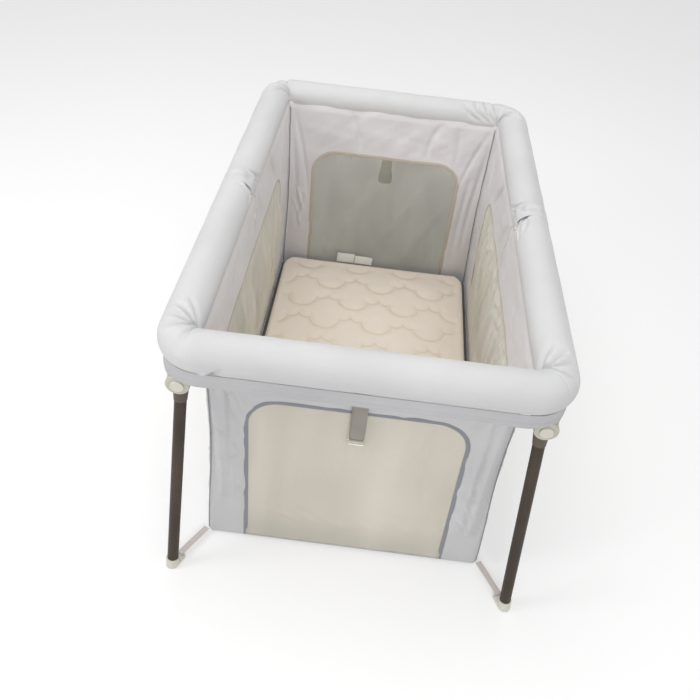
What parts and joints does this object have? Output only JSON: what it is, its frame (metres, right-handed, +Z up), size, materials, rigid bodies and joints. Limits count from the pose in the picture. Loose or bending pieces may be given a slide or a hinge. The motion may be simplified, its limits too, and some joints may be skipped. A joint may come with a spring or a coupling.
{
  "type": "travel crib",
  "caption": "Folding travel crib: padded top rails on swing-down legs, hanging basket with mesh windows, quilted lift-out mattress.",
  "frame": {"origin": "middle of the floor rectangle under the crib, on the floor", "axes": "+X across the crib to its right, +Y along it to the far end, +Z up"},
  "size_m": [0.804, 1.333, 0.676],
  "materials": {
    "heather_cover": "padded knitted cover over foam, matt",
    "skirt_cloth": "plain woven cloth with a double stitched hem",
    "panel_cloth": "coated woven nylon with a soft sheen",
    "binding_tape": "ribbed edge tape, double stitched",
    "mesh_cloth": "fine knitted mesh",
    "floor_cloth": "coated base cloth",
    "quilt_cloth": "quilted cotton, cream",
    "webbing": "woven tape",
    "bronze_tube": "anodised dark bronze, satin",
    "rail_tube": "mill finish",
    "sage_plastic": "moulded, finely textured",
    "cream_plastic": "moulded, smooth",
    "steel": "plated wire and pins"
  },
  "bodies": {
    "near_frame": {"near_rail_tubes": "rail_tube", "near_left_hub": "sage_plastic", "near_right_hub": "sage_plastic", "near_leg_pins": "steel", "near_hinge_leaves": "steel", "near_end_pad": "heather_cover", "near_left_pad": "heather_cover", "near_right_pad": "heather_cover", "near_skirt": "skirt_cloth", "near_end_panel": "panel_cloth", "near_side_panels": "panel_cloth", "near_end_binding": "binding_tape", "near_side_bindings": "binding_tape", "near_end_mesh": "mesh_cloth", "near_side_meshes": "mesh_cloth", "near_tie_strap": "webbing", "middle_hinge_pins": "steel", "floor_sheet": "floor_cloth"},
    "far_frame": {"far_rail_tubes": "rail_tube", "far_left_hub": "sage_plastic", "far_right_hub": "sage_plastic", "far_leg_pins": "steel", "far_hinge_leaves": "steel", "far_end_pad": "heather_cover", "far_left_pad": "heather_cover", "far_right_pad": "heather_cover", "far_skirt": "skirt_cloth", "far_end_panel": "panel_cloth", "far_side_panels": "panel_cloth", "far_end_binding": "binding_tape", "far_side_bindings": "binding_tape", "far_end_mesh": "mesh_cloth", "far_side_meshes": "mesh_cloth", "far_tie_strap": "webbing", "strap_stud_plate": "cream_plastic"},
    "near_left_leg": {"near_left_leg_knuckle": "sage_plastic", "near_left_leg_tube": "bronze_tube", "near_left_foot": "cream_plastic", "near_left_anchor_strap": "webbing"},
    "near_left_leg_button": {"near_left_leg_button": "sage_plastic"},
    "near_right_leg": {"near_right_leg_knuckle": "sage_plastic", "near_right_leg_tube": "bronze_tube", "near_right_foot": "cream_plastic", "near_right_anchor_strap": "webbing"},
    "near_right_leg_button": {"near_right_leg_button": "sage_plastic"},
    "far_left_leg": {"far_left_leg_knuckle": "sage_plastic", "far_left_leg_tube": "bronze_tube", "far_left_foot": "cream_plastic", "far_left_anchor_strap": "webbing"},
    "far_left_leg_button": {"far_left_leg_button": "sage_plastic"},
    "far_right_leg": {"far_right_leg_knuckle": "sage_plastic", "far_right_leg_tube": "bronze_tube", "far_right_foot": "cream_plastic", "far_right_anchor_strap": "webbing"},
    "far_right_leg_button": {"far_right_leg_button": "sage_plastic"},
    "left_lock_button": {"left_lock_button": "sage_plastic"},
    "right_lock_button": {"right_lock_button": "sage_plastic"},
    "strap_ring": {"strap_ring": "steel"},
    "mattress": {"mattress": "quilt_cloth"}
  },
  "joints": [
    {"name": "frame_fold", "type": "hinge", "parent": "near_frame", "child": "far_frame", "pos_m": [0, 0, 0.669], "axis": [1, 0, 0], "range_deg": [0, 180], "deforming": ["floor_sheet"]},
    {"name": "near_left_leg_fold", "type": "hinge", "parent": "near_frame", "child": "near_left_leg", "pos_m": [-0.353, -0.565, 0.543], "axis": [0.9983, 0, -0.0588], "range_deg": [0, 99], "deforming": ["near_left_anchor_strap"]},
    {"name": "near_left_button_press", "type": "slide", "parent": "near_frame", "child": "near_left_leg_button", "axis": [0, 1, 0], "range_m": [0, 0.0035], "stiffness_N_per_m": 600, "springref_m": -0.002},
    {"name": "near_right_leg_fold", "type": "hinge", "parent": "near_frame", "child": "near_right_leg", "pos_m": [0.353, -0.565, 0.543], "axis": [0.9983, 0, 0.0588], "range_deg": [0, 99], "deforming": ["near_right_anchor_strap"]},
    {"name": "near_right_button_press", "type": "slide", "parent": "near_frame", "child": "near_right_leg_button", "axis": [0, 1, 0], "range_m": [0, 0.0035], "stiffness_N_per_m": 600, "springref_m": -0.002},
    {"name": "far_left_leg_fold", "type": "hinge", "parent": "far_frame", "child": "far_left_leg", "pos_m": [-0.353, 0.565, 0.543], "axis": [-0.9983, 0, 0.0588], "range_deg": [0, 99], "deforming": ["far_left_anchor_strap"]},
    {"name": "far_left_button_press", "type": "slide", "parent": "far_frame", "child": "far_left_leg_button", "axis": [0, -1, 0], "range_m": [0, 0.0035], "stiffness_N_per_m": 600, "springref_m": -0.002},
    {"name": "far_right_leg_fold", "type": "hinge", "parent": "far_frame", "child": "far_right_leg", "pos_m": [0.353, 0.565, 0.543], "axis": [-0.9983, 0, -0.0588], "range_deg": [0, 99], "deforming": ["far_right_anchor_strap"]},
    {"name": "far_right_button_press", "type": "slide", "parent": "far_frame", "child": "far_right_leg_button", "axis": [0, -1, 0], "range_m": [0, 0.0035], "stiffness_N_per_m": 600, "springref_m": -0.002},
    {"name": "left_lock_press", "type": "slide", "parent": "near_frame", "child": "left_lock_button", "axis": [-1, 0, 0], "range_m": [0, 0.004], "stiffness_N_per_m": 600, "springref_m": -0.002},
    {"name": "right_lock_press", "type": "slide", "parent": "near_frame", "child": "right_lock_button", "axis": [1, 0, 0], "range_m": [0, 0.004], "stiffness_N_per_m": 600, "springref_m": -0.002},
    {"name": "ring_swing", "type": "hinge", "parent": "near_frame", "child": "strap_ring", "pos_m": [0, -0.549, 0.39271], "axis": [-1, 0, 0], "range_deg": [0, 120]},
    {"name": "mattress_lift", "type": "slide", "parent": "near_frame", "child": "mattress", "axis": [0, 0, 1], "range_m": [0, 1.4]}
  ]
}
